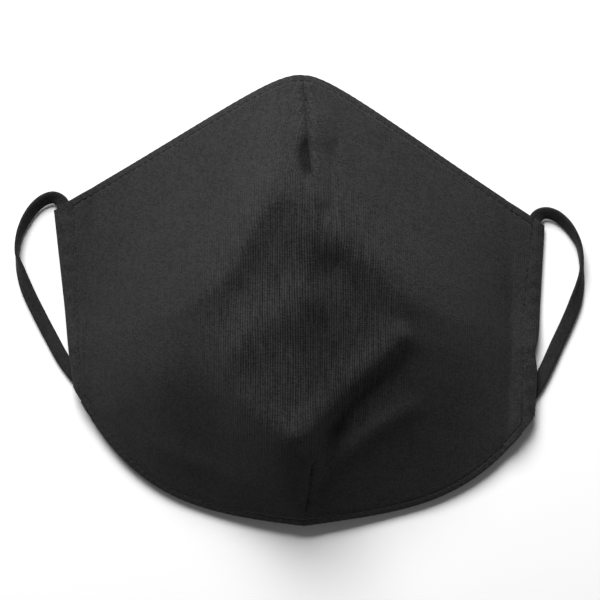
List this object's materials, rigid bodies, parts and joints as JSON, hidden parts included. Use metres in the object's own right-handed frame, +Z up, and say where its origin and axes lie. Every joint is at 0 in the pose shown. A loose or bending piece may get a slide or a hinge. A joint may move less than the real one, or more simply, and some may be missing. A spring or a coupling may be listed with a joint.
{
  "type": "cloth face mask",
  "caption": "Darted knitted cloth face mask with turned hems, side channels and soft elastic ear loops, lying open side down.",
  "frame": {"origin": "middle of the bounding box's underside, on the surface that the mask rests on", "axes": "+Z up out of the dome, +Y towards the nose, +X to the right as seen from above"},
  "size_m": [0.2085, 0.1635, 0.0435],
  "materials": {
    "knit_cloth": "fine black jersey knit, matte with a soft sheen",
    "hem_cloth": "the same black knit, folded and stitched",
    "ear_elastic": "soft black knitted elastic, matte"
  },
  "bodies": {
    "root": {"mask_body": "knit_cloth", "top_hem": "hem_cloth", "bottom_hem": "hem_cloth", "side_channel_left": "hem_cloth", "side_channel_right": "hem_cloth", "nose_dart": "knit_cloth", "chin_dart": "knit_cloth", "ear_loop_left": "ear_elastic", "ear_loop_right": "ear_elastic"}
  },
  "joints": []
}
